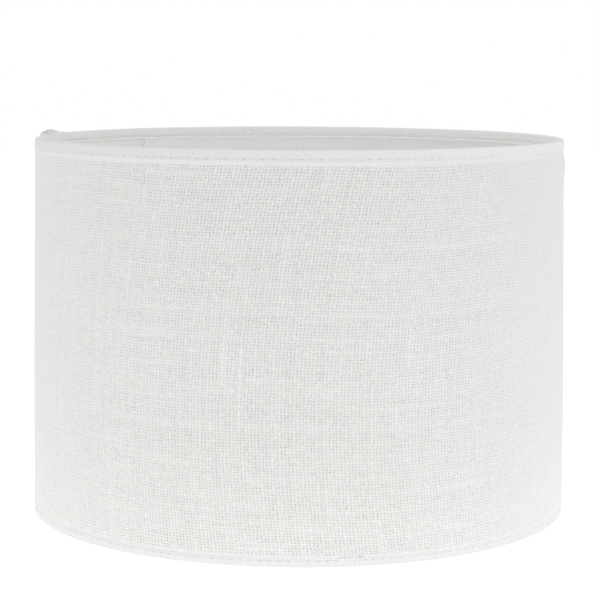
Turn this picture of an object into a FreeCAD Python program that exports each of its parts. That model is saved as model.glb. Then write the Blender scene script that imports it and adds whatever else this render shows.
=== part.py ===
import FreeCAD, Part
import math
import os

# Hard-lined drum lamp shade. A linen cover is laminated to a stiff plastic liner, the panel is
# wrapped once round with a glued lap, and each edge is bound over a wire ring with sewn tape.
# A three-arm wire fitter low inside carries a pressed hub for a threaded E27 lampholder.
#
# Millimetres, +Z up. The origin is the centre of the circle that the shade stands on.

# Overall size, over the binding
HEIGHT = 208.0
BOTTOM_RADIUS = 150.0
TOP_RADIUS = 147.0

# Wall layers
TAPE = 0.55
LINEN = 0.65
LINER = 0.40
GLUE = 0.05  # glue film between layers, left as a gap
PANEL = LINER + GLUE + LINEN

# Insets of each layer's outer face from the outer face of the binding
LINEN_INSET = TAPE + GLUE
LINER_INSET = LINEN_INSET + LINEN + GLUE
INSIDE_INSET = LINER_INSET + LINER + GLUE  # where the inner leg of the binding touches

# Lap seam: the panel's outer end climbs a ramp and is glued over its inner end
SEAM_ANGLE = 131.0  # where the inner end's cut edge shows inside
LAP_WIDTH = 15.0
RAMP_WIDTH = 12.0
LAP_GLUE = 0.10
LAP_ANGLE = math.degrees(LAP_WIDTH / BOTTOM_RADIUS)
RAMP_ANGLE = math.degrees(RAMP_WIDTH / BOTTOM_RADIUS)
LIFT = PANEL + LAP_GLUE
GLUE_MARGIN_ANGLE = 0.4  # the glue strip stops this far short of the lap's edges

# Wire rings
RING_WIRE = 1.3  # radius of the wire
RING_DEPTH = TAPE + GLUE + RING_WIRE  # from the rim to the wire's centre
RING_INSET = INSIDE_INSET + RING_WIRE  # from the outer face to the wire's centre

# Binding tape, as depths from the rim
TOP_LEG = 5.5
BOTTOM_LEG = 5.4
INNER_LEG = 7.0
RIM_ROUNDING = 0.5
TAPE_LEAVES_RING = math.radians(70)  # angle round the wire where the tape turns back to the wall
STITCH_DEPTH = 4.6
THREAD = 0.2  # radius of the sewing thread
GROOVE_HALF_WIDTH = 0.25
GROOVE_DEPTH = 2 * THREAD + 0.02
BUMP_MARGIN_ANGLE = 0.8  # how far the binding's raised stretch runs past the lap and the ramp

# The top tape's folded end, lapped over its start
TAPE_LAP_START = 164.5
TAPE_LAP_ANGLE = 4.5
TAPE_LAP_THICKNESS = 2.5 * TAPE

# Fitter
HUB_BORE = 21.0
HUB_RADIUS = 30.0
HUB_Z = 26.0  # underside of the hub's plate
HUB_SHEET = 1.2
HUB_BEND = 2.0  # outer radius of the bend into the upturned rim
HUB_RIM_HEIGHT = 3.6
ARM_ANGLES = (90.0, 210.0, 330.0)
ARM_WIRE = 1.5
ARM_END_RADIUS = 25.2  # where an arm ends under the hub
ARM_WELD = 0.15  # how far the wire is pressed into the hub at the weld
ARM_Z = HUB_Z - ARM_WIRE + ARM_WELD
ARM_SLOPE = math.radians(50)
ARM_BEND = 8.0
ARM_SHORT_OF_RING = 0.4  # the wire stops this far short of the ring wire's centre
ARM_CLEARANCE = 0.1  # round an arm where it passes through the binding

ORIGIN = FreeCAD.Vector(0, 0, 0)
UP = FreeCAD.Vector(0, 0, 1)


def wall_radius(z, inset=0.0):
    """Radius of the tapered wall's outer face at height z, moved in by inset."""
    return BOTTOM_RADIUS + (TOP_RADIUS - BOTTOM_RADIUS) * z / HEIGHT - inset


def point(place):
    """A point of a section, given as (radius, height), in the XZ plane."""
    return FreeCAD.Vector(place[0], 0, place[1])


def outline(start, steps):
    """Closed wire from start; a step is (end,) for a line or (middle, end) for an arc."""
    edges = []
    here = point(start)
    for step in list(steps) + [(start,)]:
        end = point(step[-1])
        if len(step) == 1:
            edges.append(Part.LineSegment(here, end).toShape())
        else:
            edges.append(Part.Arc(here, point(step[0]), end).toShape())
        here = end
    return Part.Wire(edges)


def turned(wire, start_angle=0.0, sweep=360.0):
    """Solid swept by a section about the Z axis."""
    face = Part.Face(wire)
    face.rotate(ORIGIN, UP, start_angle)
    return face.revolve(ORIGIN, UP, sweep)


def one_solid(shape):
    """The single solid of a boolean's result."""
    solids = shape.removeSplitter().Solids
    if len(solids) != 1:
        raise ValueError(f"expected one solid, found {len(solids)}")
    return solids[0]


def layer_section(inset, thickness, edge, lift):
    """Section of one wall layer that stops edge short of both rims, moved out by lift."""
    low, high = edge, HEIGHT - edge
    corners = [(low, inset), (high, inset), (high, inset + thickness), (low, inset + thickness)]
    places = [(wall_radius(z, depth) + lift, z) for z, depth in corners]
    return outline(places[0], [(place,) for place in places[1:]])


def wrapped_layer(inset, thickness, edge=TAPE + GLUE):
    """One layer of the panel: once round, up the ramp and on over its own start."""
    flat = layer_section(inset, thickness, edge, 0.0)
    lifted = layer_section(inset, thickness, edge, LIFT)
    once_round = turned(flat, SEAM_ANGLE + RAMP_ANGLE, 360.0 - RAMP_ANGLE)
    lap = turned(lifted, SEAM_ANGLE - LAP_ANGLE, LAP_ANGLE)
    ramp_start, ramp_end = flat.copy(), lifted.copy()
    ramp_start.rotate(ORIGIN, UP, SEAM_ANGLE + RAMP_ANGLE)
    ramp_end.rotate(ORIGIN, UP, SEAM_ANGLE)
    ramp = Part.makeLoft([ramp_start, ramp_end], True, True)
    return one_solid(once_round.fuse([ramp, lap]))


def seam_glue():
    """Adhesive strip between the two ends of the panel."""
    low, high = TAPE + GLUE, HEIGHT - TAPE - GLUE
    inner, outer = LINEN_INSET, LINEN_INSET - LAP_GLUE
    places = [(wall_radius(z, inset), z) for z, inset in ((low, inner), (low, outer), (high, outer), (high, inner))]
    strip = outline(places[0], [(place,) for place in places[1:]])
    start = SEAM_ANGLE - LAP_ANGLE + GLUE_MARGIN_ANGLE
    return turned(strip, start, LAP_ANGLE - 2 * GLUE_MARGIN_ANGLE)


class Rim:
    """One edge of the shade; depth runs from the rim into the shade's height."""

    def __init__(self, height, inward, outer_leg):
        self.height = height
        self.inward = inward
        self.outer_leg = outer_leg
        self.ring_radius = self.radius(RING_DEPTH, RING_INSET)

    def z(self, depth):
        return self.height + self.inward * depth

    def radius(self, depth, inset=0.0):
        return wall_radius(self.z(depth), inset)

    def place(self, depth, inset):
        """(radius, height) of a point that deep, and that far in from the outer face."""
        return (self.radius(depth, inset), self.z(depth))

    def round_ring(self, distance, angle):
        """Point round the ring wire: angle 0 is towards the shade's axis, 90 degrees is deeper."""
        depth = RING_DEPTH + distance * math.sin(angle)
        return (self.ring_radius - distance * math.cos(angle), self.z(depth))

    def back_to_wall(self, distance, inset):
        """Where a tape that leaves the ring at its tangent meets the wall's inside."""
        across = RING_INSET - inset + distance * math.cos(TAPE_LEAVES_RING)
        deeper = across / math.tan(TAPE_LEAVES_RING) + distance * math.sin(TAPE_LEAVES_RING)
        return self.place(RING_DEPTH + deeper, inset)

    def ring(self):
        return Part.makeTorus(self.ring_radius, RING_WIRE, FreeCAD.Vector(0, 0, self.z(RING_DEPTH)))

    def groove(self, surface, bottom, outwards):
        """Four corners of the stitch groove, in the order of growing or shrinking depth."""
        near, far = STITCH_DEPTH - GROOVE_HALF_WIDTH, STITCH_DEPTH + GROOVE_HALF_WIDTH
        places = [(near, surface), (near, bottom), (far, bottom), (far, surface)]
        if outwards:
            places.reverse()
        return [(self.place(depth, inset),) for depth, inset in places]

    def binding_section(self, tape=TAPE, lift=0.0, grooves=True):
        """Tape over the wall's edge and the ring; lift moves its outer face over the lap."""
        outside = TAPE - tape - lift
        inside = INSIDE_INSET + tape
        crown = TAPE - tape
        round_wire = RING_WIRE + GLUE + tape
        under_wire = RING_WIRE + GLUE
        corner = RIM_ROUNDING * (1 - math.sqrt(0.5))
        outer_groove = self.groove(outside, outside + GROOVE_DEPTH, True) if grooves else []
        inner_groove = self.groove(inside, inside - GROOVE_DEPTH, False) if grooves else []
        steps = outer_groove + [
            (self.place(crown + RIM_ROUNDING, outside),),
            (self.place(crown + corner, outside + corner), self.place(crown, outside + RIM_ROUNDING)),
            (self.round_ring(round_wire, -math.pi / 2),),
            (self.round_ring(round_wire, 0.0), self.round_ring(round_wire, TAPE_LEAVES_RING)),
            (self.back_to_wall(round_wire, inside),),
        ] + inner_groove + [
            (self.place(INNER_LEG, inside),),
            (self.place(INNER_LEG, INSIDE_INSET),),
            (self.back_to_wall(under_wire, INSIDE_INSET),),
            (self.round_ring(under_wire, TAPE_LEAVES_RING),),
            (self.round_ring(under_wire, 0.0), self.round_ring(under_wire, -math.pi / 2)),
            (self.place(TAPE, TAPE),),
            (self.place(self.outer_leg, TAPE),),
        ]
        return outline(self.place(self.outer_leg, outside), steps)

    def binding(self, panel, arms):
        """The sewn tape, raised over the lap seam and slit round the fitter's arms."""
        bump_start = SEAM_ANGLE - LAP_ANGLE - BUMP_MARGIN_ANGLE
        bump_angle = LAP_ANGLE + RAMP_ANGLE + 2 * BUMP_MARGIN_ANGLE
        rest = turned(self.binding_section(), bump_start + bump_angle, 360.0 - bump_angle)
        bump = turned(self.binding_section(lift=LIFT), bump_start, bump_angle)
        return one_solid(rest.fuse(bump).cut([panel] + arms))

    def needle_thread(self):
        """Outer thread: one stretch round the wall and one over the lap seam."""
        bump_start = SEAM_ANGLE - LAP_ANGLE - BUMP_MARGIN_ANGLE
        bump_angle = LAP_ANGLE + RAMP_ANGLE + 2 * BUMP_MARGIN_ANGLE
        rest = self.thread(THREAD, bump_start + bump_angle, 360.0 - bump_angle)
        over_lap = self.thread(THREAD - LIFT, bump_start, bump_angle)
        return Part.makeCompound([rest, over_lap])

    def bobbin_thread(self):
        """Inner thread."""
        return self.thread(INSIDE_INSET + TAPE - THREAD, 0.0, 360.0)

    def thread(self, inset, start_angle, sweep):
        centre = point(self.place(STITCH_DEPTH, inset))
        circle = Part.Wire(Part.makeCircle(THREAD, centre, FreeCAD.Vector(0, 1, 0)))
        return turned(circle, start_angle, sweep)


def hub():
    """Pressed ring with an upturned rim; the lampholder's collar clamps on its plate."""
    top = HUB_Z + HUB_SHEET
    bend_end = HUB_RADIUS - HUB_BEND
    inner_bend = HUB_BEND - HUB_SHEET
    diagonal = math.sqrt(0.5)
    rim_top = HUB_Z + HUB_RIM_HEIGHT
    rim_middle = HUB_RADIUS - HUB_SHEET / 2
    bend_z = HUB_Z + HUB_BEND
    steps = [
        ((bend_end, HUB_Z),),
        ((bend_end + HUB_BEND * diagonal, bend_z - HUB_BEND * diagonal), (HUB_RADIUS, bend_z)),
        ((HUB_RADIUS, rim_top - HUB_SHEET / 2),),
        ((rim_middle, rim_top), (HUB_RADIUS - HUB_SHEET, rim_top - HUB_SHEET / 2)),
        ((HUB_RADIUS - HUB_SHEET, bend_z),),
        ((bend_end + inner_bend * diagonal, bend_z - inner_bend * diagonal), (bend_end, top)),
        ((HUB_BORE, top),),
    ]
    return turned(outline((HUB_BORE, HUB_Z), steps))


def arm(angle, wire_radius, ring_radius, ring_z):
    """Fitter arm: level from the hub, bent down near the wall to meet the bottom ring."""
    down = (math.cos(ARM_SLOPE), -math.sin(ARM_SLOPE))
    end = (ring_radius - ARM_SHORT_OF_RING * down[0], ring_z - ARM_SHORT_OF_RING * down[1])
    corner_radius = end[0] - (ARM_Z - end[1]) / math.tan(ARM_SLOPE)
    trim = ARM_BEND * math.tan(ARM_SLOPE / 2)
    bend_start = (corner_radius - trim, ARM_Z)
    bend_end = (corner_radius + trim * down[0], ARM_Z + trim * down[1])
    half = ARM_SLOPE / 2
    bend_middle = (bend_start[0] + ARM_BEND * math.sin(half), ARM_Z - ARM_BEND * (1 - math.cos(half)))
    start = (ARM_END_RADIUS, ARM_Z)
    path = Part.Wire([
        Part.LineSegment(point(start), point(bend_start)).toShape(),
        Part.Arc(point(bend_start), point(bend_middle), point(bend_end)).toShape(),
        Part.LineSegment(point(bend_end), point(end)).toShape(),
    ])
    section = Part.Wire(Part.makeCircle(wire_radius, point(start), FreeCAD.Vector(1, 0, 0)))
    wire = path.makePipeShell([section], True, False)
    wire.rotate(ORIGIN, UP, angle)
    return wire


def build():
    """Every piece of the shade, by name."""
    top = Rim(HEIGHT, -1, TOP_LEG)
    bottom = Rim(0.0, 1, BOTTOM_LEG)
    fitter_hub = hub()
    bottom_ring = bottom.ring()
    panel_space = wrapped_layer(TAPE, PANEL + 2 * GLUE, TAPE)
    ring_place = (bottom.ring_radius, bottom.z(RING_DEPTH))
    slits = [arm(angle, ARM_WIRE + ARM_CLEARANCE, *ring_place) for angle in ARM_ANGLES]
    folded_end = turned(
        top.binding_section(TAPE_LAP_THICKNESS, grooves=False), TAPE_LAP_START, TAPE_LAP_ANGLE
    )
    top_needle_thread = top.needle_thread()
    top_bobbin_thread = top.bobbin_thread()
    pieces = {
        "linen_cover": wrapped_layer(LINEN_INSET, LINEN),
        "liner_sheet": wrapped_layer(LINER_INSET, LINER),
        "seam_glue_strip": seam_glue(),
        "top_ring": top.ring(),
        "bottom_ring": bottom_ring,
        "top_binding": one_solid(
            top.binding(panel_space, []).fuse(folded_end).cut([top_needle_thread, top_bobbin_thread])
        ),
        "bottom_binding": bottom.binding(panel_space, slits),
        "top_needle_thread": top_needle_thread,
        "top_bobbin_thread": top_bobbin_thread,
        "bottom_needle_thread": bottom.needle_thread(),
        "bottom_bobbin_thread": bottom.bobbin_thread(),
        "fitter_hub": fitter_hub,
    }
    for number, angle in enumerate(ARM_ANGLES, 1):
        wire = arm(angle, ARM_WIRE, *ring_place)
        pieces[f"fitter_arm_{number}"] = one_solid(wire.cut([bottom_ring, fitter_hub]))
    return pieces


os.makedirs("parts", exist_ok=True)
for name, shape in build().items():
    shape.exportStep(f"parts/{name}.step")
    print(f"{name:22s} valid {shape.isValid()} solids {len(shape.Solids)} volume {shape.Volume:10.2f} mm3")
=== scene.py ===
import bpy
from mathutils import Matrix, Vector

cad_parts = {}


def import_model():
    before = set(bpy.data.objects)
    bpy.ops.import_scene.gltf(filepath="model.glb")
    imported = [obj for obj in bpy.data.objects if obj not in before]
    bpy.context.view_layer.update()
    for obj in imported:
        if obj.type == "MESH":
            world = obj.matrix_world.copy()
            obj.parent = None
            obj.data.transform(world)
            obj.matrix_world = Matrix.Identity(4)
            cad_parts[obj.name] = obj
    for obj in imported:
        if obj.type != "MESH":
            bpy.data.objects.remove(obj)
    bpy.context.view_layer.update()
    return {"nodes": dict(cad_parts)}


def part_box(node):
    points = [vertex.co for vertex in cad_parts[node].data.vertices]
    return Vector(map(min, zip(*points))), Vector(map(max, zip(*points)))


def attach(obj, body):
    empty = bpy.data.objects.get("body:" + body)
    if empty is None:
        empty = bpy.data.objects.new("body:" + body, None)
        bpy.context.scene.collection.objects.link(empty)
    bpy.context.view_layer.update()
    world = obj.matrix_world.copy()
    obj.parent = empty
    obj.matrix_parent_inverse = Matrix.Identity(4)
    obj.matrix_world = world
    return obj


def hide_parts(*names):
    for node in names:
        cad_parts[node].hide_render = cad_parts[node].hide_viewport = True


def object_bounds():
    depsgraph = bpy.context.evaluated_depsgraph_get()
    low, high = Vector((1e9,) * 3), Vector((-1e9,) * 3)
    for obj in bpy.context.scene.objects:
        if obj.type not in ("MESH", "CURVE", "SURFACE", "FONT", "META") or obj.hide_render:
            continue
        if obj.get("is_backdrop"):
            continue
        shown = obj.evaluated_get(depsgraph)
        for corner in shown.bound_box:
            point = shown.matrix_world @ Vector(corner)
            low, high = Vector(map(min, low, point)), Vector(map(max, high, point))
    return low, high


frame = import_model()

import math

import bpy
import numpy as np
from mathutils import Matrix, Vector

# Metres, in the model's own frame: +Z up, the shade's axis on Z, standing on Z = 0, front at -Y.
MM = 0.001
RANDOM = np.random.default_rng(722)

# ---- Sizes read from the frame --------------------------------------------------------------


def half_width(node):
    low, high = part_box(node)
    return (high.x - low.x) / 2


LINEN_LOW, LINEN_HIGH = (corner.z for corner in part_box("linen_cover"))
HEIGHT = LINEN_LOW + LINEN_HIGH
BOTTOM_RADIUS = half_width("bottom_binding")
TOP_RADIUS = half_width("top_binding")

# ---- Layers of the wall, from the outside in ---------------------------------------------------

TAPE = 0.55 * MM
GLUE = 0.05 * MM
LINEN = 0.65 * MM
LINER = 0.40 * MM
LINEN_INSET = TAPE + GLUE
LINER_INSET = LINEN_INSET + LINEN + GLUE
INSIDE_INSET = LINER_INSET + LINER + GLUE

TOP_LEG = 5.4 * MM  # how far the binding reaches down the outside
BOTTOM_LEG = 4.4 * MM
TOP_PRESSED = 1.4 * MM  # strip of linen beside the tape that sewing and glue press flat
BOTTOM_PRESSED = 0.1 * MM

# ---- Lap seam ----------------------------------------------------------------------------------

LAP = 15 * MM
RAMP = 12 * MM
LIFT = LINEN + GLUE + LINER + 0.10 * MM
MEAN_RADIUS = (BOTTOM_RADIUS + TOP_RADIUS) / 2
LAP_ANGLE = LAP / BOTTOM_RADIUS
RAMP_ANGLE = RAMP / BOTTOM_RADIUS
glue_low, glue_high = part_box("seam_glue_strip")
glue_middle = (glue_low + glue_high) / 2
SEAM_ANGLE = math.atan2(glue_middle.y, glue_middle.x) + LAP_ANGLE / 2
FULL_TURN = 2 * math.pi
FRONT = math.radians(-98)  # where the weave shows most


def wall_radius(z, inset=0.0):
    """Radius of the tapered wall's outer face at height z, moved in by inset."""
    return BOTTOM_RADIUS + (TOP_RADIUS - BOTTOM_RADIUS) * z / HEIGHT - inset


def smooth(x):
    """Smooth step from 0 to 1 as x goes from 0 to 1."""
    x = np.clip(x, 0.0, 1.0)
    return x * x * (3 - 2 * x)


def lap_lift(turned):
    """How far the panel stands out after turning that far from its inner end."""
    return LIFT * smooth((turned - FULL_TURN + RAMP_ANGLE) / RAMP_ANGLE)


def bell(place, middle, reach):
    """1 at the middle, fading to almost nothing two reaches away from it."""
    return np.exp(-(((place - middle) / reach) ** 2))


def swell(angle, z):
    """Shallow unevenness of the laminated wall, the same for every layer."""
    up, down = z / HEIGHT, (HEIGHT - z) / MM
    arch = np.sin(math.pi * up)
    gentle = 0.25 * np.sin(3 * angle + 0.6) * arch + 0.18 * np.sin(7 * angle + 2.1 + 9 * z)
    belly = 0.5 * arch * (1 - up)
    # At the far right the binding stands out, the wall is pinched in below it and bulges lower down
    bulge = 1.1 * np.exp((np.cos(angle) - 1) / 0.03) * bell(z, 193 * MM, 6 * MM)
    pinch = 0.6 * bell(down, 2.6, 1.4) - 0.5 * bell(down, 6.5, 1.6)
    pinch = pinch * np.exp((np.cos(angle) - 1) / 0.02)
    # At the far left the rim's corner is pressed in
    corner = -2.0 * np.clip(1 - down / 4.2, 0, 1) ** 1.6 * np.exp(-(np.cos(angle) + 1) / 0.005)
    return (gentle + belly + bulge + pinch + corner) * MM


def on_wall(radius, angle, z):
    """Places from their radius, angle and height, which broadcast to one shape."""
    return np.stack([radius * np.cos(angle), radius * np.sin(angle), z], axis=-1)


# ---- Mesh helpers ------------------------------------------------------------------------------


def mesh_object(name, points, quads, edge_quads=None, triangles=None):
    """A mesh from arrays, without going through Python lists: quads are shaded smooth, and
    the quads and triangles of its cut edges flat."""
    mesh = bpy.data.meshes.new(name)
    quads = np.asarray(quads, np.int32).reshape(-1, 4)
    flat = np.zeros(len(quads), bool)
    if edge_quads is not None:
        edge_quads = np.asarray(edge_quads, np.int32).reshape(-1, 4)
        quads = np.concatenate([quads, edge_quads])
        flat = np.concatenate([flat, np.ones(len(edge_quads), bool)])
    corners = quads.ravel()
    sizes = np.full(len(quads), 4, np.int32)
    if triangles is not None:
        triangles = np.asarray(triangles, np.int32).reshape(-1, 3)
        corners = np.concatenate([corners, triangles.ravel()])
        sizes = np.concatenate([sizes, np.full(len(triangles), 3, np.int32)])
        flat = np.concatenate([flat, np.ones(len(triangles), bool)])
    mesh.vertices.add(len(points))
    mesh.vertices.foreach_set("co", np.asarray(points, np.float32).ravel())
    mesh.loops.add(len(corners))
    mesh.loops.foreach_set("vertex_index", corners.astype(np.int32))
    mesh.polygons.add(len(sizes))
    starts = np.concatenate([[0], np.cumsum(sizes)[:-1]]).astype(np.int32)
    mesh.polygons.foreach_set("loop_start", starts)
    mesh.polygons.foreach_set("use_smooth", ~flat)
    mesh.update(calc_edges=True)
    mesh.validate()
    made = bpy.data.objects.new(name, mesh)
    bpy.context.scene.collection.objects.link(made)
    return made


def set_attribute(made, name, values):
    """One number for each vertex, for the material to read."""
    attribute = made.data.attributes.new(name, "FLOAT", "POINT")
    attribute.data.foreach_set("value", np.asarray(values, np.float32).ravel())


def grid_quads(columns, rows, start=0):
    """Quads of a grid whose vertices run column by column; they face the side where
    rows rise and columns go clockwise seen from above."""
    column, row = np.meshgrid(np.arange(columns - 1), np.arange(rows - 1), indexing="ij")
    first = start + (column * rows + row).ravel()
    return np.stack([first, first + 1, first + rows + 1, first + rows], axis=1)


def two_layer_faces(columns, rows):
    """Quads of a thin sheet made of two such grids, its face and then its back, and the
    quads of its four cut edges."""
    count = columns * rows
    quads = [grid_quads(columns, rows), grid_quads(columns, rows, count)[:, ::-1]]
    column, row = np.arange(columns - 1) * rows, np.arange(rows - 1)
    last_column = (columns - 1) * rows
    edges = (
        (column, rows, False), (column + rows - 1, rows, True),
        (row, 1, True), (last_column + row, 1, False),
    )
    edge_quads = []
    for near, step, flip in edges:
        strip = np.stack([near, near + step, near + step + count, near + count], axis=1)
        edge_quads.append(strip[:, ::-1] if flip else strip)
    return np.concatenate(quads), np.concatenate(edge_quads)


# ---- Linen cover -------------------------------------------------------------------------------

WARP_PITCH = 1.86 * MM
WEFT_PITCH = 1.50 * MM
LINES_PER_YARN = 4  # vertices across one yarn and its gap, in each direction
BACK_ROWS = 36  # rows of vertices up the glued back, which only follows the wall's swell
WARP_HALF_WIDTH = 0.385  # of the pitch
WEFT_HALF_WIDTH = 0.41
WARP_RISE = 0.40 * MM  # from a yarn's edge to its crown
WEFT_RISE = 0.36 * MM
WARP_CRIMP = 0.12 * MM  # how far a yarn rises and falls as it weaves
WEFT_CRIMP = 0.15 * MM
CROWN = 0.52 * MM
HOLE_DEPTH = 0.25 * MM  # from the yarns' edges to the deepest pinhole
RELIEF = CROWN + HOLE_DEPTH
LINEN_CROWN = 0.05 * MM  # how far the crowns stand out past the binding's outer face
FIBRE_TONE = 0.025  # how unevenly light the cloth is from vertex to vertex
CROSSING_TONE = 0.012  # the same from one crossing of yarns to the next
CROSSING_HEIGHT = 0.02 * MM
END_FOLD = 0.8 * MM  # width of the rounded fold at the panel's outer end


def drifting(count, length, reach, size):
    """Random numbers for count yarns along their length, smoothed over reach steps."""
    knots = RANDOM.normal(0.0, 1.0, (count, length // reach + 3))
    place = np.arange(length) / reach
    left = place.astype(int)
    part = smooth(place - left)
    return size * (knots[:, left] * (1 - part) + knots[:, left + 1] * part)


def slubs(count, length, how_many, reach, size):
    """Thick stretches of yarn: a few long bumps along randomly chosen yarns."""
    thick = np.zeros((count, length))
    place = np.arange(length)
    for _ in range(how_many):
        yarn = RANDOM.integers(count)
        middle = RANDOM.uniform(0, length)
        half = reach * RANDOM.uniform(0.4, 1.2) ** 2
        bump = size * RANDOM.uniform(0.4, 1.2) * np.exp(-(((place - middle) / half) ** 2))
        thick[yarn] = np.maximum(thick[yarn], bump)
    return thick


class Yarns:
    """All the yarns of one direction: how thick and how light each is along its length."""

    def __init__(self, count, length, half_width, rise, crimp, slub_count):
        # Shares of the width: slow and quick changes along a yarn, then from yarn to yarn
        uneven = drifting(count, length, 28, 0.014) + drifting(count, length, 6, 0.055)
        uneven = uneven + RANDOM.normal(0, 0.06, (count, 1))
        self.count = count
        self.rise = rise
        self.crimp = crimp
        self.slub = slubs(count, length, slub_count, 34, 0.32)
        self.extra = uneven + self.slub
        self.half_width = half_width * (1 + self.extra)
        # Shares of the cloth's lightness, in the same way
        self.tone = RANDOM.normal(0, 0.006, (count, 1)) + drifting(count, length, 26, 0.005)
        self.tone = self.tone + drifting(count, length, 4, 0.010) + 0.015 * self.slub
        # Shifts of the gaps in pitches: away from the thicker yarn, then slow and quick wander
        gaps = 0.20 * (self.extra[:-1] - self.extra[1:])
        gaps = gaps + drifting(count - 1, length, 30, 0.014) + drifting(count - 1, length, 6, 0.08)
        gaps = gaps + drifting(count - 1, length, 3, 0.07)
        self.gap_shift = np.pad(gaps, ((1, 1), (0, 0)))

    def crown(self, across, along, step):
        """Height of the yarn just before (step -1) or after (step 0) each grid line, and
        which yarn that is."""
        yarn = np.clip(np.floor(across + 1e-9).astype(int) + step, 0, self.count - 1)
        distance = np.abs(across[:, None] - (yarn[:, None] + 0.5)) / self.half_width[yarn]
        lift = np.cos(math.pi * (along[None, :] - 0.5 + yarn[:, None]))
        rise = self.rise * (1 + 0.3 * self.slub[yarn]) * (1 - distance**2)
        return self.crimp * lift + rise, self.tone[yarn]

    def line_shift(self):
        """How far each grid line moves, in pitches, as thick yarns push their neighbours."""
        gaps = self.gap_shift
        middles = 0.5 * (gaps[:-1] + gaps[1:])
        shifts = np.zeros((self.count * LINES_PER_YARN + 1, gaps.shape[1]))
        shifts[::LINES_PER_YARN] = gaps
        shifts[1::LINES_PER_YARN] = 0.5 * (gaps[:-1] + middles)
        shifts[2::LINES_PER_YARN] = middles
        shifts[3::LINES_PER_YARN] = 0.5 * (gaps[1:] + middles)
        return shifts


def weave(warp, weft):
    """Relief, tone, depth (for painted shade in the holes) and top direction of a plain weave
    of irregular yarns, on a grid of LINES_PER_YARN vertices for each yarn; columns run along the warp."""
    columns, rows = warp.count * LINES_PER_YARN + 1, weft.count * LINES_PER_YARN + 1
    across, up = np.arange(columns) / LINES_PER_YARN, np.arange(rows) / LINES_PER_YARN
    height = np.full((columns, rows), -HOLE_DEPTH)
    tone = np.zeros((columns, rows))
    lengthwise = np.full((columns, rows), 0.5)
    for step in (-1, 0):
        crown, its_tone = warp.crown(across, up, step)
        seen = crown > height
        height, tone = np.where(seen, crown, height), np.where(seen, its_tone, tone)
        lengthwise = np.where(seen, 1.0, lengthwise)
    for step in (-1, 0):
        crown, its_tone = weft.crown(up, across + 1, step)
        crown, its_tone = crown.T, its_tone.T
        seen = crown > height
        height, tone = np.where(seen, crown, height), np.where(seen, its_tone, tone)
        lengthwise = np.where(seen, 0.0, lengthwise)
    # Depth below the crowns, which the linen material turns into painted shade in each hole and gap
    # between yarns; each hole's painted shade is made randomly stronger or weaker
    depth = np.clip((CROWN - height) / RELIEF, 0, 1)
    painted_pinhole_shade = depth[::LINES_PER_YARN, ::LINES_PER_YARN]
    painted_pinhole_shade *= np.clip(RANDOM.normal(0.9, 0.35, painted_pinhole_shade.shape), 0.1, 1.6)
    tone = tone + RANDOM.normal(0, FIBRE_TONE, tone.shape)
    for sheet, size in ((tone, CROSSING_TONE), (height, CROSSING_HEIGHT)):
        each = RANDOM.normal(0, size, (warp.count, weft.count))
        sheet[:-1, :-1] += np.repeat(np.repeat(each, LINES_PER_YARN, 0), LINES_PER_YARN, 1)
    return height, tone, depth, lengthwise


def warp_bow(z, turned, whole):
    """Sideways drift of the warp up the wall, fading out towards the panel's straight ends."""
    lean = (0.12 - 0.17 * z / HEIGHT) * z
    fade = smooth(turned / 0.9) * smooth((whole - turned) / 0.9)
    return lean * fade * (1 + 0.25 * np.sin(2 * turned + 0.8))


def weft_wave(turned):
    """Slow rise and fall of the weft round the shade."""
    return (0.9 * np.sin(3 * turned + 0.4) + 0.5 * np.sin(8 * turned + 1.7)) * MM


def facing(angle):
    """1 near the shade's front and back, falling to 0 at its sides."""
    return np.abs(np.cos(angle - FRONT))


def fullness(angle):
    """How much of the weave's relief is left: the cloth lies flatter at the shade's sides."""
    return 0.20 + 0.80 * facing(angle)


def crushed(turned, size):
    """How much thinner a layer is pressed at the panel's inner end."""
    return size * (1 - smooth(turned * MEAN_RADIUS / (1.6 * MM)))


def panel_angle(turned, z):
    """Angle of a place on the panel, whose inner end is cut aslant below the top binding."""
    slant = 1.0 - 1.9 * smooth((HEIGHT - 8.0 * MM - z) / (6.0 * MM))
    slant = slant * (1 - smooth(turned * MEAN_RADIUS / (20 * MM)))
    return SEAM_ANGLE - turned - slant * MM / MEAN_RADIUS


def linen_back(turned, z):
    """Points of the linen's glued back."""
    angle = panel_angle(turned, z)
    radius = wall_radius(z, LINER_INSET - GLUE) + lap_lift(turned) + swell(angle, z)
    return on_wall(radius + crushed(turned, 0.50 * MM), angle, z).reshape(-1, 3)


def linen_yarns(whole):
    """The warp and the weft of the panel, which is whole radians long."""
    warps = round(whole * MEAN_RADIUS / WARP_PITCH)
    wefts = round((LINEN_HIGH - LINEN_LOW) / WEFT_PITCH)
    columns, rows = warps * LINES_PER_YARN + 1, wefts * LINES_PER_YARN + 1
    warp = Yarns(warps, rows, WARP_HALF_WIDTH, WARP_RISE, WARP_CRIMP, warps // 4)
    weft = Yarns(wefts, columns, WEFT_HALF_WIDTH, WEFT_RISE, WEFT_CRIMP, wefts * 2)
    return warp, weft


def linen_places(warp, weft, whole):
    """Turn and height of the vertices of the linen's face, as the yarns drift."""
    columns, rows = warp.count * LINES_PER_YARN + 1, weft.count * LINES_PER_YARN + 1
    turned = np.arange(columns)[:, None] + LINES_PER_YARN * warp.line_shift()
    turned = whole * turned / (columns - 1)
    up = np.arange(rows)[None, :] + LINES_PER_YARN * weft.line_shift().T
    z = LINEN_LOW + (LINEN_HIGH - LINEN_LOW) * up / (rows - 1)
    from_edges = smooth((z - LINEN_LOW) / (12 * MM)) * smooth((LINEN_HIGH - z) / (12 * MM))
    z = z + weft_wave(turned) * from_edges
    turned = turned + warp_bow(z, turned, whole) / MEAN_RADIUS
    turned[0], turned[-1] = 0.0, whole
    return turned, z


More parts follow.
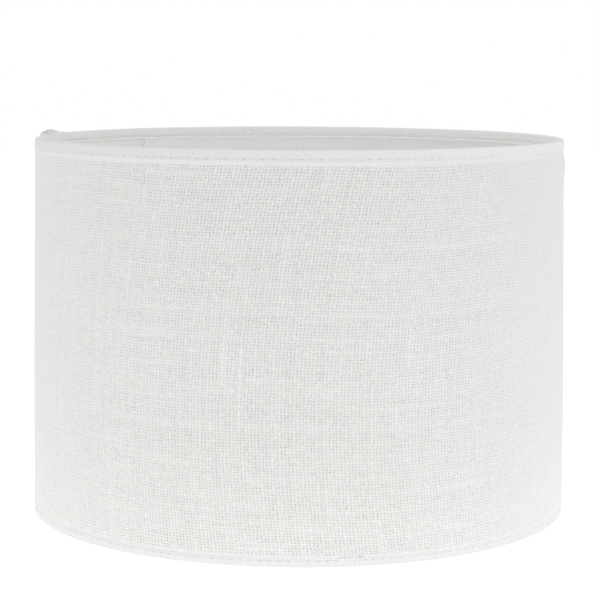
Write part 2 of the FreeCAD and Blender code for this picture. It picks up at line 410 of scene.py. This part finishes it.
def linen_height(turned, z, relief, whole):
    """How far the face stands out from the cover's inset, and the share of relief left. It is
    pressed beside the bindings, sunk under them and the lap, and folded under at its end."""
    above, below = z - BOTTOM_LEG, HEIGHT - TOP_LEG - z
    pressed = 1 - smooth(np.minimum(above - BOTTOM_PRESSED, below - TOP_PRESSED) / (1.5 * MM))
    under_tape = 1 - smooth((np.minimum(above, below) + 0.65 * MM) / (0.9 * MM))
    under_lap = 1 - smooth((turned - LAP_ANGLE) * MEAN_RADIUS / (0.8 * MM))
    covered = np.maximum(under_tape, under_lap)
    left = (1 - 0.75 * pressed) * fullness(SEAM_ANGLE - turned)
    height = (relief - CROWN) * left
    height = height + (LINEN_INSET + LINEN_CROWN) * (1 - covered) - 0.03 * MM * covered
    height = height + crushed(turned, 0.08 * MM)
    fold = np.clip((turned - whole) * MEAN_RADIUS / END_FOLD + 1, 0, 1)
    height = height * (1 - fold) - 0.45 * MM * (1 - np.sqrt(np.clip(1 - fold**2, 0, 1)))
    return height, left


def linen_faces(columns, rows, picks):
    """Quads, cut-edge quads and cut-edge triangles of the linen. Its vertices are the face's
    grid, the back's grid, which has only the picked rows, and the hem up each straight end."""
    start = columns * rows
    column, row = np.meshgrid(np.arange(1, columns - 2), np.arange(BACK_ROWS - 1), indexing="ij")
    low = start + (BACK_ROWS * column + row).ravel()
    back = np.stack([low, low + BACK_ROWS, low + BACK_ROWS + 1, low + 1], axis=1)
    column = np.arange(columns - 1)
    low, high = start + BACK_ROWS * column, start + BACK_ROWS * column + BACK_ROWS - 1
    first, last = column * rows, column * rows + rows - 1
    edge_quads = [
        np.stack([first, first + rows, low + BACK_ROWS, low], axis=1),
        np.stack([last, high, high + BACK_ROWS, last + rows], axis=1),
    ]
    triangles = []
    free = start + BACK_ROWS * columns
    for side, beside, flip in ((0, 1, False), (columns - 1, columns - 2, True)):
        rim = side * rows + np.arange(rows)
        corner = start + BACK_ROWS * side
        hem = np.concatenate([[corner], free + np.arange(rows - 2), [corner + BACK_ROWS - 1]])
        free += rows - 2
        cap = np.stack([rim[:-1], rim[1:], hem[1:], hem[:-1]], axis=1)
        edge_quads.append(cap[:, ::-1] if flip else cap)
        fan = []
        for step in range(BACK_ROWS - 1):
            lower, upper = picks[step], picks[step + 1]
            middle = (lower + upper) // 2
            near = start + BACK_ROWS * beside + step
            fan += [(near, hem[at + 1], hem[at]) for at in range(lower, middle)]
            fan += [(near + 1, hem[at + 1], hem[at]) for at in range(middle, upper)]
            fan.append((near, near + 1, hem[middle]))
        fan = np.array(fan)
        triangles.append(fan[:, ::-1] if flip else fan)
    quads = np.concatenate([grid_quads(columns, rows), back])
    return quads, np.concatenate(edge_quads), np.concatenate(triangles)


def linen_cover():
    """The cover: every yarn is relief on its face, and its glued back is coarser."""
    whole = FULL_TURN + LAP_ANGLE
    warp, weft = linen_yarns(whole)
    relief, tone, depth, lengthwise = weave(warp, weft)
    turned, z = linen_places(warp, weft, whole)
    height, left = linen_height(turned, z, relief, whole)
    angle = panel_angle(turned, z)
    radius = wall_radius(z, LINEN_INSET) + lap_lift(turned) + swell(angle, z) + height
    columns, rows = z.shape
    picks = np.round(np.linspace(0, rows - 1, BACK_ROWS)).astype(int)
    behind = [(turned[:, picks], z[:, picks])]
    behind += [(turned[end, 1:-1], z[end, 1:-1]) for end in (0, -1)]
    points = [on_wall(radius, angle, z).reshape(-1, 3)] + [linen_back(*places) for places in behind]
    made = mesh_object("linen", np.concatenate(points), *linen_faces(columns, rows, picks))
    # Painted shade darkens the cloth towards the shade's sides, and painted light lifts the middle of
    # its height
    painted_side_shade = 0.04 * (1 - fullness(angle))
    middle = 0.015 * np.sin(math.pi * z / HEIGHT) ** 2
    # The depth attribute carries the painted shade of the holes; it is weaker where the relief is
    # flatter and left out at the panel's ends
    depth = depth * left
    depth[[0, -1]] = 0.0
    lengthwise = 0.5 + (lengthwise - 0.5) * left
    marks = {"tone": tone * left - painted_side_shade + middle, "depth": depth, "warp": lengthwise}
    blank = np.zeros(sum(part.size for part, _ in behind))
    for name, values in marks.items():
        set_attribute(made, name, np.concatenate([values.ravel(), blank]))
    all_turned = [turned.ravel()] + [part.ravel() for part, _ in behind]
    set_attribute(made, "round", np.concatenate(all_turned) * MEAN_RADIUS)
    return made


# ---- Bindings ----------------------------------------------------------------------------------

RING_WIRE = 1.3 * MM
RING_DEPTH = TAPE + GLUE + RING_WIRE
RING_INSET = INSIDE_INSET + RING_WIRE
INNER_LEG = 6.9 * MM
TAPE_LEAVES_RING = math.radians(75)
BULGE_END = RING_DEPTH + RING_WIRE + GLUE + TAPE + 0.1 * MM
STITCH = 4.8 * MM
COLUMNS_PER_STITCH = 8
THREAD = 0.16 * MM  # radius of the needle thread
THREAD_STEPS = 14  # cross-sections of a thread from one hole to the next
THREAD_SIDES = 6


def ladder(front, back, spacing):
    """Pairs of points, one on the tape's face and one on its back, along two paths of
    (depth, inset) corners; the last corner is left to the next ladder."""
    pairs = []
    for index in range(len(front) - 1):
        count = max(1, round(math.dist(front[index], front[index + 1]) / spacing))
        for step in range(count):
            part = step / count
            face = [a + (b - a) * part for a, b in zip(front[index], front[index + 1])]
            behind = [a + (b - a) * part for a, b in zip(back[index], back[index + 1])]
            pairs.append(face + behind)
    return pairs


class Rim:
    """One bound edge of the shade. Depth runs from the rim into the shade's height, inset
    runs inwards from the binding's outer face, and the tape turns once round the shade from
    its hidden start and on over it to its visible end."""

    def __init__(self, name, height, inward, leg, rear_shift, start, way, overlap, seed):
        self.name = name
        self.height = height
        self.inward = inward
        self.leg = leg
        self.stitch_depth = leg - (1.25 if inward > 0 else 0.9) * MM
        self.inner_stitch_depth = 4.6 * MM
        self.rear_shift = rear_shift  # how much deeper the inner stitching runs at the back
        self.start = start
        self.way = way
        self.overlap = overlap
        # How far the overlap climbs, how thick the outer leg's edge is, and how much painted light
        #         # that leg gets at the right and painted shade at the left
        self.step = 0.28 * MM if inward > 0 else TAPE + 0.04 * MM
        self.bead = (0.03 if inward > 0 else 0.11) * MM
        self.fade = 0.0 if inward > 0 else 0.045
        self.stitches = round(FULL_TURN * wall_radius(height) / STITCH)
        self.phases = np.random.default_rng(seed).uniform(0, FULL_TURN, (6, 4))

    def wander(self, angle, size, which):
        """Slow hand-made unevenness round the rim, the same wherever it is asked for."""
        turns_and_shares = ((2, 0.5), (5, 0.35), (12, 0.25), (31, 0.15))
        waves = [
            share * np.sin(turns * angle + phase)
            for (turns, share), phase in zip(turns_and_shares, self.phases[which])
        ]
        return size * sum(waves)

    def section(self):
        """Rows of (depth, inset) for the face and the back of the tape, from the end of its
        outer leg over the rim and the ring wire to the end of its inner leg."""
        back_wire = RING_WIRE + GLUE
        wire = back_wire + TAPE
        inside = INSIDE_INSET + TAPE
        leg = self.leg
        thin = (0.05 if self.inward > 0 else 0.09) * MM
        outer = ladder(
            [(leg, thin), (leg - 0.08 * MM, 0.35 * thin), (leg - 0.25 * MM, 0.0),
             (leg - 0.5 * MM, 0.0), (0.5 * MM, 0.0)],
            [(leg, TAPE), (leg - 0.08 * MM, TAPE), (leg - 0.25 * MM, TAPE),
             (leg - 0.5 * MM, TAPE), (1.2 * TAPE, TAPE)],
            0.25 * MM,
        )
        rim = ladder(
            [(0.5 * MM, 0.0), (0.2 * MM, 0.12 * MM), (0.04 * MM, 0.32 * MM), (0.0, 0.7 * MM),
             (0.06 * MM, 1.4 * MM), (RING_DEPTH - wire, RING_INSET)],
            [(1.2 * TAPE, TAPE), (1.1 * TAPE, TAPE), (1.05 * TAPE, TAPE), (TAPE, 1.1 * TAPE),
             (TAPE, 1.4 * MM), (RING_DEPTH - back_wire, RING_INSET)],
            0.45 * MM,
        )
        ring = [
            [RING_DEPTH + wire * math.sin(turn), RING_INSET + wire * math.cos(turn),
             RING_DEPTH + back_wire * math.sin(turn), RING_INSET + back_wire * math.cos(turn)]
            for turn in np.linspace(-math.pi / 2, TAPE_LEAVES_RING, 13)
        ]
        meets, back_meets = (
            RING_DEPTH + (RING_INSET - wall + reach * math.cos(TAPE_LEAVES_RING))
            / math.tan(TAPE_LEAVES_RING) + reach * math.sin(TAPE_LEAVES_RING)
            for wall, reach in ((inside, wire), (INSIDE_INSET, back_wire))
        )
        inner = ladder(
            [tuple(ring[-1][:2]), (meets, inside), (INNER_LEG - 0.4 * MM, inside),
             (INNER_LEG, INSIDE_INSET - 0.04 * MM)],
            [tuple(ring[-1][2:]), (back_meets, INSIDE_INSET), (INNER_LEG - 0.4 * MM, INSIDE_INSET),
             (INNER_LEG, INSIDE_INSET - 0.3 * MM)],
            0.2 * MM,
        )
        end = [[INNER_LEG, INSIDE_INSET - 0.04 * MM, INNER_LEG, INSIDE_INSET - 0.3 * MM]]
        return np.array(outer + rim + ring + inner[1:] + end)

    def over_lap(self, angle, outside, depth):
        """How far the panel's lap seam pushes the outer leg out, and how far the inner leg
        sinks with the panel beside the seam."""
        turned = (SEAM_ANGLE - angle) % FULL_TURN
        past_edge = (turned - LAP_ANGLE) * MEAN_RADIUS / (1.5 * MM)
        outer = np.where(turned < math.pi, LIFT * (1 - smooth(past_edge)), lap_lift(turned))
        sunk = lap_lift(turned) * smooth((FULL_TURN - turned) * MEAN_RADIUS / (2 * MM))
        sunk = sunk * smooth((depth - BULGE_END + 0.5 * MM) / (1.5 * MM))
        return outside * outer + (1 - outside) * sunk

    def stitch_shift(self, angle, depth, inset):
        """How much deeper than drawn the tape lies there, as its stitching wanders."""
        slow = self.wander(angle, 0.12 * MM, 0)
        outside = slow * smooth(depth / (3.5 * MM))
        rear = self.rear_shift * (1 + np.sin(angle)) / 2
        inside = (slow + rear) * smooth((depth - BULGE_END) / (0.5 * MM))
        inside = inside * (1 - 0.8 * smooth((depth - self.inner_stitch_depth - 0.4 * MM) / (1.5 * MM)))
        return np.where(inset > RING_INSET - RING_WIRE, inside, outside)

    def put(self, angle, depth, inset):
        """World places of points given by angle, depth and inset."""
        depth = depth + self.stitch_shift(angle, depth, inset)
        edge = self.wander(angle, 0.10 * MM, 1) * (1 - smooth(depth / (4 * MM)))
        leg_edge = self.wander(angle, 0.09 * MM, 2) * smooth((depth - self.leg + 1.5 * MM) / (1.5 * MM))
        z = self.height + self.inward * (depth + edge + leg_edge)
        outside = 1 - smooth((inset - TAPE) / (INSIDE_INSET - TAPE))
        radius = wall_radius(z, inset) + swell(angle, z) + self.over_lap(angle, outside, depth)
        radius = radius + self.wander(angle, 0.06 * MM, 3)
        return on_wall(radius, angle, z)

    def to_stitch(self, angle):
        """Distance round the shade from the nearest needle hole."""
        pitch = FULL_TURN / self.stitches
        return (angle - np.round(angle / pitch) * pitch) * wall_radius(self.height)

    def stitching(self, angle, depth, outer_side):
        """How much of a needle hole each place on the tape is, which the tape's material turns
        into painted shade, and how far the stitches push the tape out there."""
        flat = facing(angle) ** 2
        distance = self.to_stitch(angle)
        from_row = depth - np.where(outer_side, self.stitch_depth, self.inner_stitch_depth)
        hole = bell(distance, 0, 0.42 * MM) * bell(from_row, 0, 0.34 * MM)
        number = np.round(angle / FULL_TURN * self.stitches)
        opened = 0.35 + 0.65 * np.sin(number**2 * 0.7) ** 2
        hole = hole * np.where(outer_side, opened * flat, 0.1)
        bed = bell(from_row, 0, 0.38 * MM) * flat
        puff = (1 - np.cos(FULL_TURN * distance / STITCH)) / 2 * bell(from_row, 0, 1.5 * MM)
        return hole, (-0.34 * hole - 0.08 * bed + 0.08 * puff) * MM

    def binding(self, lump):
        """The tape itself; lump(angle, depth, inset) is how far it is pushed out there."""
        section = self.section()
        face_depth, face_inset, back_depth, back_inset = section.T[:, None, :]
        along = np.gradient(section[:, :2], axis=0)
        along /= np.linalg.norm(along, axis=1)[:, None]
        out_depth, out_inset = along[:, 1], -along[:, 0]
        if out_inset[2] > 0:
            out_depth, out_inset = -out_depth, -out_inset
        whole = FULL_TURN + self.overlap
        columns, rows = round(whole / FULL_TURN * self.stitches * COLUMNS_PER_STITCH), len(section)
        turned = np.linspace(0, whole, columns)[:, None]
        angle = self.start + self.way * turned
        climb = smooth((turned - FULL_TURN + 0.012) / 0.016) * self.step
        outer_side = face_inset < TAPE
        hole, push = self.stitching(angle, face_depth, outer_side)
        bead = self.bead * bell(face_depth, self.leg - 0.35 * MM, 0.3 * MM)
        bead = bead * outer_side * facing(angle) ** 2
        creases = np.sin(97 * angle + 3 * np.sin(13 * angle)) * np.sin(41 * angle + 1.3)
        creases = 0.03 * MM * creases * smooth(1 - face_depth / (3 * MM))
        knot = lump(angle, face_depth, face_inset) * (turned > self.overlap)
        folds = np.sin(430 * angle + 2600 * face_depth) * np.sin(190 * angle - 1500 * face_depth + 1)
        push = push + bead + creases + climb + knot * (1 + 0.7 * folds)
        # Painted shade in the hollows between the knot's folds
        hole = hole + 0.9 * np.clip(-folds - 0.1, 0, 1) * np.clip(knot / (0.8 * MM), 0, 1)
        face = self.put(angle, face_depth + push * out_depth, face_inset + push * out_inset)
        back = self.put(angle, back_depth + climb * out_depth, back_inset + climb * out_inset)
        quads, edge_quads = two_layer_faces(columns, rows)
        if (self.way > 0) == (self.inward < 0):
            quads, edge_quads = quads[:, ::-1], edge_quads[:, ::-1]
        points = np.concatenate([face.reshape(-1, 3), back.reshape(-1, 3)])
        made = mesh_object(f"{self.name}_tape", points, quads, edge_quads)
        blank = np.zeros((columns, rows))
        # Painted light on the outer leg at the right and painted shade at its left
        fade = self.fade * np.cos(angle) * outer_side
        for name, values in (("hole", hole), ("tone", fade), ("depth", blank + face_depth)):
            set_attribute(made, name, np.concatenate([values, blank]))
        round_tape = blank + turned * MEAN_RADIUS
        set_attribute(made, "round", np.concatenate([round_tape, round_tape]))
        return made

    def thread(self, side):
        """One thread of the lockstitch: it lies along the tape and dips into every hole."""
        steps = THREAD_STEPS * self.stitches
        angle = np.arange(steps) * FULL_TURN / steps
        distance = self.to_stitch(angle)
        ahead = (distance / STITCH) % 1.0
        slant = 0.26 * MM * (ahead - 0.5) * smooth(np.abs(distance) / (0.5 * MM))
        jitter = 0.05 * MM * np.sin(2.4 * np.floor(angle * self.stitches / FULL_TURN) ** 2)
        dip = bell(distance, 0, 0.40 * MM)
        if side == "needle":
            thickness = THREAD
            inset = 0.62 * MM * dip + (0.11 - 0.18 * fullness(angle)) * MM
            depth = self.stitch_depth + slant + jitter
        else:
            thickness = 1.75 * THREAD
            inset = INSIDE_INSET + TAPE + 0.13 * MM - 0.45 * MM * dip
            depth = self.inner_stitch_depth + slant + jitter
        rings = []
        for corner in np.arange(THREAD_SIDES) * FULL_TURN / THREAD_SIDES:
            up, out = thickness * math.sin(corner), thickness * math.cos(corner)
            rings.append(self.put(angle, depth + up, inset - out))
        points = np.stack(rings, axis=1).reshape(-1, 3)
        column, row = np.meshgrid(np.arange(steps), np.arange(THREAD_SIDES), indexing="ij")
        next_column, next_row = (column + 1) % steps, (row + 1) % THREAD_SIDES
        corners = ((column, row), (column, next_row), (next_column, next_row), (next_column, row))
        quads = [(THREAD_SIDES * along + across).ravel() for along, across in corners]
        quads = np.stack(quads, axis=1)
        if self.inward > 0:
            quads = quads[:, ::-1]
        return mesh_object(f"{self.name}_{side}_stitches", points, quads)


# ---- Liner -------------------------------------------------------------------------------------

LINER_COLUMNS = 900
LINER_END_COLUMNS = 5  # of these, how many are in the first millimetre, which is crushed thin
LINER_ROWS = 71


def liner_columns(whole):
    """How far each of the sheet's columns is turned from its inner end."""
    end = 1 * MM / MEAN_RADIUS
    close = np.linspace(0, end, LINER_END_COLUMNS + 1)[:-1]
    return np.concatenate([close, np.linspace(end, whole, LINER_COLUMNS - LINER_END_COLUMNS)])


def liner():
    """The stiff plastic sheet inside the linen, lapped at the seam like the linen."""
    whole = FULL_TURN + LAP_ANGLE
    low, high = (corner.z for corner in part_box("liner_sheet"))
    turned, z = np.meshgrid(liner_columns(whole), np.linspace(low, high, LINER_ROWS), indexing="ij")
    angle = panel_angle(turned, z)
    layers = []
    for inset, thinner in ((LINER_INSET, 0.54 * MM), (LINER_INSET + LINER, 0.88 * MM)):
        radius = wall_radius(z, inset) + lap_lift(turned) + swell(angle, z) + crushed(turned, thinner)
        layers.append(on_wall(radius, angle, z).reshape(-1, 3))
    made = mesh_object("liner", np.concatenate(layers), *two_layer_faces(LINER_COLUMNS, LINER_ROWS))
    cloth = turned * MEAN_RADIUS
    set_attribute(made, "round", np.concatenate([cloth, cloth]))
    # The crushed end is painted lighter, a painted highlight on its cut edge, and the sheet has painted
    # shade towards the right
    tone = 0.14 * bell(cloth, 0, 1.5 * MM) - 0.045 * np.cos(angle)
    set_attribute(made, "tone", np.concatenate([tone, tone]))
    return made


# ---- Materials ---------------------------------------------------------------------------------


class Nodes:
    """A Principled material under construction."""

    def __init__(self, name, roughness, specular=0.3, sheen=0.0, coat=0.0):
        self.material = bpy.data.materials.new(name)
        self.material.use_nodes = True
        self.tree = self.material.node_tree
        self.shader = self.tree.nodes["Principled BSDF"]
        self.shader.inputs["Roughness"].default_value = roughness
        self.shader.inputs["Specular IOR Level"].default_value = specular
        self.shader.inputs["Sheen Weight"].default_value = sheen
        self.shader.inputs["Coat Weight"].default_value = coat

    def add(self, kind, settings=(), **inputs):
        """A node, with its properties, and its inputs by name or as i and a number; an input
        is a value or a socket."""
        made = self.tree.nodes.new(kind)
        for key, value in dict(settings).items():
            setattr(made, key, value)
        for key, value in inputs.items():
            numbered = key[0] == "i" and key[1:].isdigit()
            self.feed(made.inputs[int(key[1:]) if numbered else key], value)
        return made

    def feed(self, socket, value):
        if isinstance(value, bpy.types.NodeSocket):
            self.tree.links.new(value, socket)
        else:
            socket.default_value = value

    def math(self, operation, first, second=0.0, third=0.0):
        made = self.add("ShaderNodeMath", {"operation": operation}, i0=first, i1=second, i2=third)
        return made.outputs[0]

    def attribute(self, name):
        return self.add("ShaderNodeAttribute", {"attribute_name": name}).outputs["Fac"]

    def place(self):
        return self.add("ShaderNodeTexCoord").outputs["Object"]

    def cloth_place(self, across, up):
        """Coordinates along the cloth, scaled: round the shade by across, up it by up."""
        height = self.add("ShaderNodeSeparateXYZ", Vector=self.place()).outputs["Z"]
        joined = self.add(
            "ShaderNodeCombineXYZ",
            X=self.math("MULTIPLY", self.attribute("round"), across),
            Y=self.math("MULTIPLY", height, up),
        )
        return joined.outputs[0]

    def noise(self, where, scale=1.0, detail=2.0, roughness=0.5):
        settings = {"Scale": scale, "Detail": detail, "Roughness": roughness}
        return self.add("ShaderNodeTexNoise", Vector=where, **settings).outputs["Fac"]

    def around_one(self, value, size):
        """Turns a noise of 0 to 1 into a factor of 1 - size to 1 + size."""
        return self.math("MULTIPLY_ADD", value, 2 * size, 1 - size)

    def colour(self, base, factor):
        """The base colour times a factor that varies over the surface."""
        multiply = {"data_type": "RGBA", "blend_type": "MULTIPLY"}
        made = self.add("ShaderNodeMix", multiply, i0=1.0, i6=(*base, 1.0), i7=factor)
        self.feed(self.shader.inputs["Base Color"], made.outputs[2])

    def times(self, *factors):
        """The product of two or more values."""
        product = factors[0]
        for factor in factors[1:]:
            product = self.math("MULTIPLY", product, factor)
        return product

    def bump(self, height, distance, strength=1.0):
        made = self.add("ShaderNodeBump", Height=height, Distance=distance, Strength=strength)
        self.feed(self.shader.inputs["Normal"], made.outputs[0])


def linen_material():
    nodes = Nodes("linen", roughness=0.9, specular=0.15)
    warp = nodes.attribute("warp")
    warp_fibres = nodes.noise(nodes.cloth_place(5200, 700), detail=3.0)
    weft_fibres = nodes.noise(nodes.cloth_place(700, 5200), detail=3.0)
    fibres = nodes.add("ShaderNodeMix", {}, i0=warp, i2=weft_fibres, i3=warp_fibres).outputs[0]
    patches = nodes.noise(nodes.cloth_place(30, 45), detail=3.0, roughness=0.6)
    # Painted shade in each hole and gap between yarns, stronger where the depth attribute is higher
    depth = nodes.attribute("depth")
    hole = nodes.times(depth, nodes.math("MULTIPLY_ADD", depth, 0.24, 0.24))
    shade = nodes.times(
        nodes.around_one(fibres, 0.05),
        nodes.around_one(patches, 0.005),
        nodes.math("SUBTRACT", 1.0, hole),
        nodes.around_one(warp, 0.006),
    )
    # The tone attribute adds random tone together with painted shade at the sides and painted light at
    # mid-height
    nodes.colour((0.805, 0.803, 0.789), nodes.math("ADD", shade, nodes.attribute("tone")))
    nodes.bump(fibres, 0.00006)
    return nodes.material


def tape_material(name, colour):
    nodes = Nodes(name, roughness=0.85, specular=0.2)
    along = nodes.math("MULTIPLY", nodes.attribute("round"), 2600)
    across = nodes.math("MULTIPLY", nodes.attribute("depth"), 2600)
    twill = nodes.math("SINE", nodes.math("ADD", along, across))
    ribs = nodes.math("SINE", nodes.math("MULTIPLY", across, 4.6))
    weave_pattern = nodes.math("MULTIPLY_ADD", ribs, 0.5, twill)
    soft = nodes.noise(nodes.place(), scale=1400, detail=4.0, roughness=0.7)
    # The hole attribute paints shade into the needle holes and between the knot's folds, and the tone
    # attribute paints light on the outer leg's right and shade on its left
    shade = nodes.times(
        nodes.around_one(soft, 0.15),
        nodes.math("MULTIPLY_ADD", weave_pattern, 0.003, 1.0),
        nodes.math("MULTIPLY_ADD", nodes.attribute("hole"), -0.55, 1.0),
        nodes.math("ADD", nodes.attribute("tone"), 1.0),
    )
    nodes.colour(colour, shade)
    nodes.bump(weave_pattern, 0.00001)
    return nodes.material


def thread_material(name, colour):
    nodes = Nodes(name, roughness=0.6, specular=0.3, sheen=0.1)
    diagonal = {"bands_direction": "DIAGONAL"}
    twist = nodes.add("ShaderNodeTexWave", diagonal, Vector=nodes.place(), Scale=900).outputs["Fac"]
    nodes.colour(colour, nodes.around_one(twist, 0.06))
    nodes.bump(twist, 0.00003)
    return nodes.material


def liner_material():
    nodes = Nodes("liner_plastic", roughness=0.55, specular=0.35)
    warp = nodes.noise(nodes.cloth_place(540, 45), detail=2.0)
    weft = nodes.noise(nodes.cloth_place(35, 670), detail=2.0)
    grid = nodes.math("ADD", warp, weft)
    streaks = nodes.math("MULTIPLY_ADD", grid, 0.12, 0.885)
    cloud = nodes.noise(nodes.place(), scale=35, detail=3.0)
    tone = nodes.math("ADD", nodes.attribute("tone"), 1.0)
    nodes.colour((0.742, 0.742, 0.733), nodes.times(streaks, nodes.around_one(cloud, 0.02), tone))
    nodes.bump(grid, 0.00004)
    return nodes.material


def painted_wire():
    nodes = Nodes("white_powder_coat", roughness=0.42, specular=0.45, coat=0.05)
    orange_peel = nodes.noise(nodes.place(), scale=1400, detail=2.0)
    smudge = nodes.noise(nodes.place(), scale=45, detail=4.0)
    nodes.colour((0.80, 0.80, 0.78), nodes.around_one(smudge, 0.04))
    nodes.feed(nodes.shader.inputs["Roughness"], nodes.math("MULTIPLY_ADD", smudge, 0.25, 0.30))
    nodes.bump(orange_peel, 0.00002)
    return nodes.material


def glue_material():
    nodes = Nodes("seam_adhesive", roughness=0.5, specular=0.4)
    streaks = nodes.noise(nodes.place(), scale=300, detail=3.0)
    nodes.colour((0.78, 0.76, 0.70), nodes.around_one(streaks, 0.06))
    nodes.bump(streaks, 0.00003)
    return nodes.material


# ---- The shade's pieces ------------------------------------------------------------------------


def finish_piece(piece, material, node):
    """Gives a piece its material, and its place in the frame."""
    piece.data.materials.append(material)
    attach(piece, "root")
    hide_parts(node)


def top_lump(angle, depth, inset):
    """The crumpled knots of tape that stand over the rim by the top binding's joint."""
    around = np.degrees(angle % FULL_TURN)
    knots = (  # middle and reach in degrees, height in millimetres
        (176.8, 1.4, 0.80), (174.2, 1.3, 1.20), (171.9, 1.0, 0.90),
        (169.6, 1.1, 1.15), (167.3, 1.0, 0.90), (165.2, 0.7, 0.20),
    )
    height = sum(size * bell(around, middle, reach) for middle, reach, size in knots)
    return height * MM * bell(depth, 0, 1.6 * MM) * (inset < 3.5 * MM)


def bottom_lump(angle, depth, inset):
    """The frayed corner of tape at the bottom binding's joint."""
    around = np.degrees((angle + math.pi) % FULL_TURN - math.pi)
    ridge = 0.55 * bell(around, -77.8, 0.5) * bell(depth, 4.6 * MM, 1.2 * MM)
    return ridge * MM * (inset < TAPE)


TOP = Rim("top", HEIGHT, -1, TOP_LEG, 1.4 * MM, math.radians(171), -1, math.radians(8.5), 5)
BOTTOM = Rim("bottom", 0.0, 1, BOTTOM_LEG, 0.4 * MM, math.radians(-82), 1, math.radians(4), 6)

linen = linen_cover()
finish_piece(linen, linen_material(), "linen_cover")
plastic = liner()
finish_piece(plastic, liner_material(), "liner_sheet")

# One cotton tape at both rims; the bottom one's slightly darker colour is painted shade against the
# floor's glow
tapes = {
    "top": tape_material("top_cotton_tape", (0.76, 0.76, 0.75)),
    "bottom": tape_material("bottom_cotton_tape", (0.745, 0.745, 0.742)),
}
# One white thread on both sides; the bobbin's lighter colour is painted light on the inner stitches
threads = {
    "needle": thread_material("needle_thread", (0.80, 0.80, 0.79)),
    "bobbin": thread_material("bobbin_thread", (0.95, 0.95, 0.94)),
}
for rim, lump in ((TOP, top_lump), (BOTTOM, bottom_lump)):
    tape = rim.binding(lump)
    finish_piece(tape, tapes[rim.name], f"{rim.name}_binding")
    for side in ("needle", "bobbin"):
        finish_piece(rim.thread(side), threads[side], f"{rim.name}_{side}_thread")

powder_coat = painted_wire()
adhesive = glue_material()
for node in frame["nodes"]:
    if node.startswith("fitter") or node.endswith("ring"):
        bpy.data.objects[node].data.materials.clear()
        bpy.data.objects[node].data.materials.append(powder_coat)
    if node == "seam_glue_strip":
        bpy.data.objects[node].data.materials.clear()
        bpy.data.objects[node].data.materials.append(adhesive)


# ---- Floor, light and camera -------------------------------------------------------------------

FLOOR_HALF = 4.0
CAMERA_BACK = 7.64 * TOP_RADIUS  # from the shade's axis
CAMERA_UP = HEIGHT + 0.342 * TOP_RADIUS
CAMERA_TILT = math.radians(7.231)  # down from level
CAMERA_YAW = -0.0006
CAMERA_ROLL = 0.004


def floor():
    """White paper that glows, so that it vanishes into the background. Its glow is stronger near
    the shade, a painted pool of light, and a narrow band round the shade's foot glows less, a painted
    shadow."""
    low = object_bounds()[0].z
    corners = [(x * FLOOR_HALF, y * FLOOR_HALF, low) for x, y in ((-1, -1), (1, -1), (1, 1), (-1, 1))]
    made = mesh_object("floor", np.array(corners), np.array([[0, 1, 2, 3]]))
    nodes = Nodes("floor", roughness=0.9, specular=0.1)
    paper = nodes.noise(nodes.place(), scale=3.0)
    nodes.colour((0.25, 0.25, 0.25), nodes.around_one(paper, 0.01))
    nodes.shader.inputs["Emission Color"].default_value = (1.0, 1.0, 1.0, 1.0)
    multiply, length = {"operation": "MULTIPLY"}, {"operation": "LENGTH"}
    flat = nodes.add("ShaderNodeVectorMath", multiply, i0=nodes.place(), i1=(1.0, 1.0, 0.0))
    radius = nodes.add("ShaderNodeVectorMath", length, i0=flat.outputs[0]).outputs["Value"]
    # Painted pool of light: the paper glows more near the shade, lighting it from below
    near = nodes.add("ShaderNodeMapRange", {"interpolation_type": "SMOOTHSTEP"}, Value=radius)
    near.inputs["From Min"].default_value = BOTTOM_RADIUS
    near.inputs["From Max"].default_value = 2.5 * BOTTOM_RADIUS
    near.inputs["To Min"].default_value = 1.2
    near.inputs["To Max"].default_value = 0.82
    # Painted shadow: a narrow band round the shade's foot glows less
    from_foot = nodes.math("SUBTRACT", radius, BOTTOM_RADIUS - 1.4 * MM)
    from_foot = nodes.math("DIVIDE", from_foot, 1.8 * MM)
    band = nodes.math("EXPONENT", nodes.math("MULTIPLY", nodes.times(from_foot, from_foot), -1.0))
    glow = nodes.times(near.outputs[0], nodes.math("MULTIPLY_ADD", band, -0.4, 1.0))
    nodes.feed(nodes.shader.inputs["Emission Strength"], glow)
    made.data.materials.append(nodes.material)
    made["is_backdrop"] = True


def area_light(name, place, aim, size, power):
    data = bpy.data.lights.new(name, "AREA")
    data.shape = "SQUARE"
    data.size = size
    data.energy = power
    made = bpy.data.objects.new(name, data)
    made.location = place
    made.rotation_euler = (Vector(aim) - Vector(place)).to_track_quat("-Z", "Y").to_euler()
    bpy.context.scene.collection.objects.link(made)


def world(strength):
    """An even white studio, at full white where the camera sees it."""
    made = bpy.data.worlds.new("studio")
    made.use_nodes = True
    tree = made.node_tree
    background = tree.nodes["Background"]
    background.inputs["Color"].default_value = (1.0, 1.0, 1.0, 1.0)
    seen = tree.nodes.new("ShaderNodeLightPath").outputs["Is Camera Ray"]
    level = tree.nodes.new("ShaderNodeMapRange")
    level.inputs["To Min"].default_value = strength
    level.inputs["To Max"].default_value = 1.0
    tree.links.new(seen, level.inputs["Value"])
    tree.links.new(level.outputs["Result"], background.inputs["Strength"])
    bpy.context.scene.world = made


def camera():
    """Looks slightly down from the front, a little over the rim, with a long lens."""
    data = bpy.data.cameras.new("camera")
    data.lens = 119.88
    data.sensor_width = 36.0
    made = bpy.data.objects.new("camera", data)
    made.location = (0.0, -CAMERA_BACK, CAMERA_UP)
    tilt = Matrix.Rotation(math.pi / 2 - CAMERA_TILT, 3, "X")
    turn = Matrix.Rotation(CAMERA_YAW, 3, "Z") @ tilt @ Matrix.Rotation(CAMERA_ROLL, 3, "Z")
    made.rotation_euler = turn.to_euler()
    bpy.context.scene.collection.objects.link(made)
    bpy.context.scene.camera = made


floor()
world(0.92)
area_light("right", (1.2, -0.7, 0.6), (0, 0, HEIGHT / 2), 0.8, 0.5)
area_light("left", (-1.2, -0.7, 0.6), (0, 0, HEIGHT / 2), 0.8, 0.12)
camera()
bpy.context.scene.view_settings.view_transform = "Standard"
